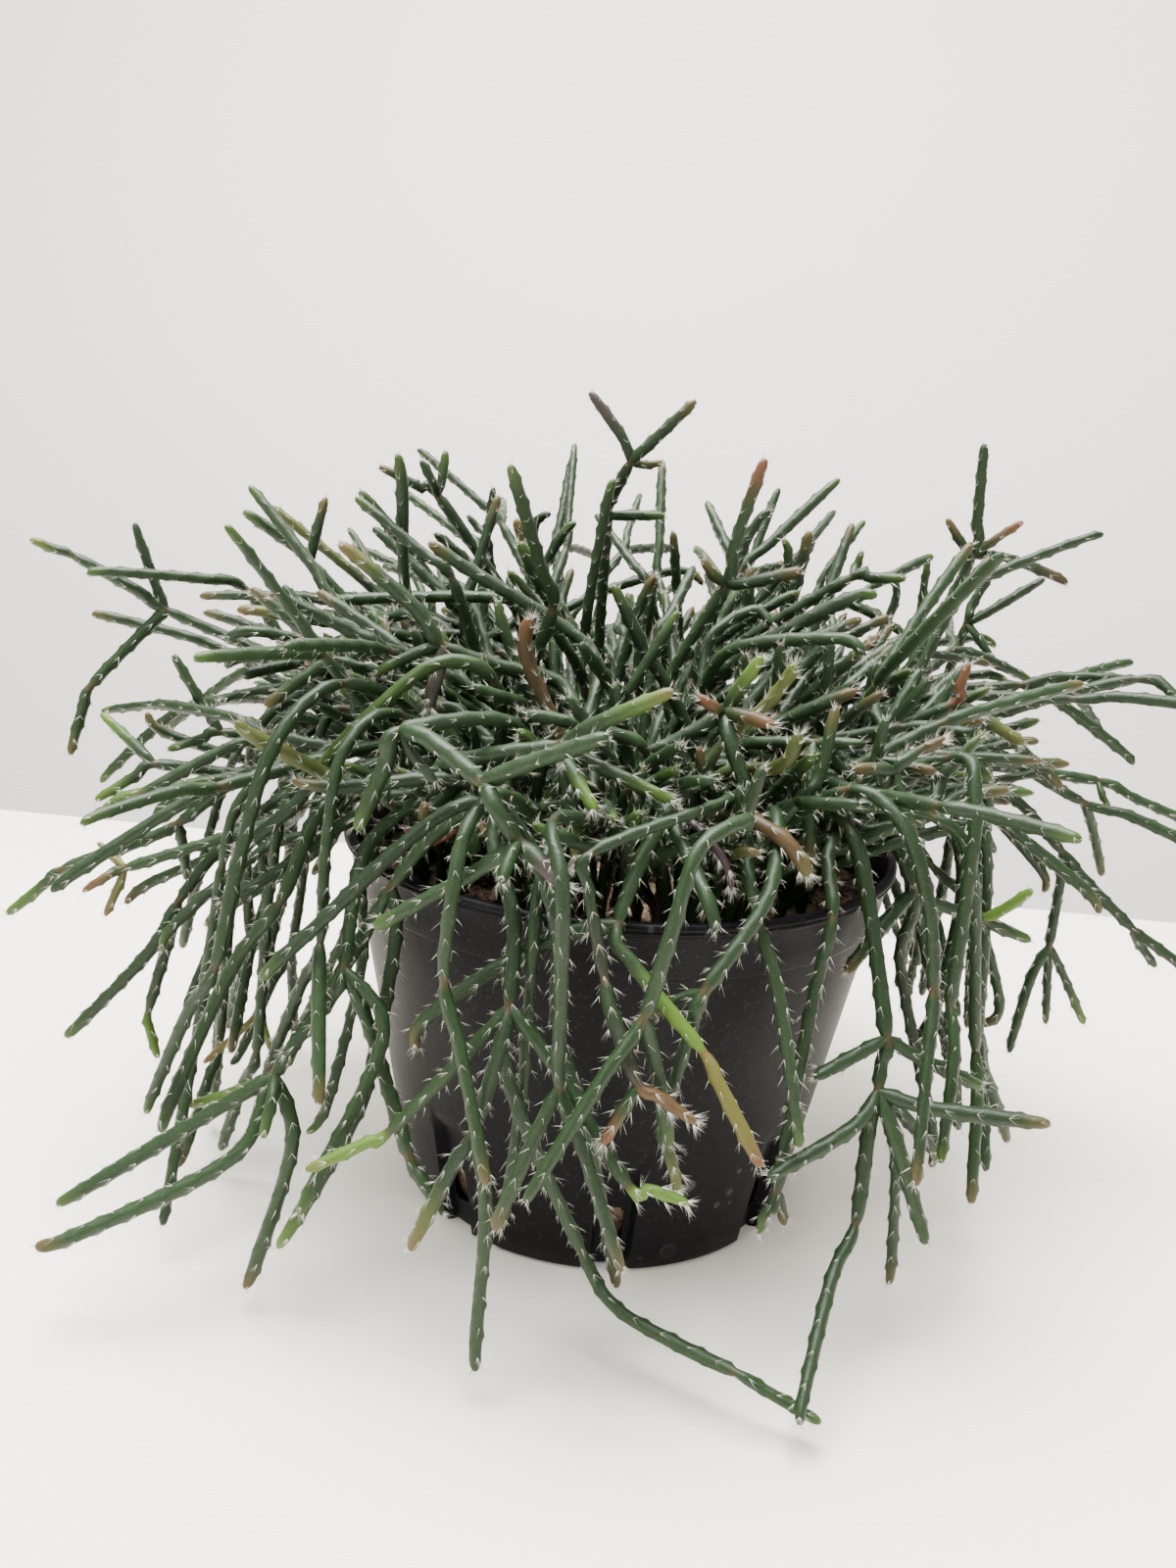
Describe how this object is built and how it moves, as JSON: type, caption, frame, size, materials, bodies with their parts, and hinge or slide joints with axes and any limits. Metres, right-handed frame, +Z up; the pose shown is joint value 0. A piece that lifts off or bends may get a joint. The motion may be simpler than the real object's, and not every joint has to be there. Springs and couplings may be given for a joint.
{
  "type": "potted mistletoe cactus",
  "caption": "Trailing mop of jointed, bristly green cactus stems growing from soil in a round tapered plastic nursery pot.",
  "frame": {"origin": "middle of the pot's flat base", "axes": "+Z up along the pot's axis, -Y towards the viewer, +X to the viewer's right"},
  "size_m": [0.3332, 0.2586, 0.2065],
  "materials": {
    "pot": "satin black moulded plastic with pale water spots",
    "soil": "damp bark and peat potting mix",
    "stems": "waxy green cactus skin with pale bristles"
  },
  "bodies": {
    "root": {"pot": "pot", "soil": "soil", "stems_01": "stems", "stems_02": "stems", "stems_03": "stems", "stems_04": "stems", "stems_05": "stems", "stems_06": "stems", "stems_07": "stems", "stems_08": "stems", "stems_09": "stems", "stems_10": "stems", "stems_11": "stems", "stems_12": "stems"}
  },
  "joints": []
}
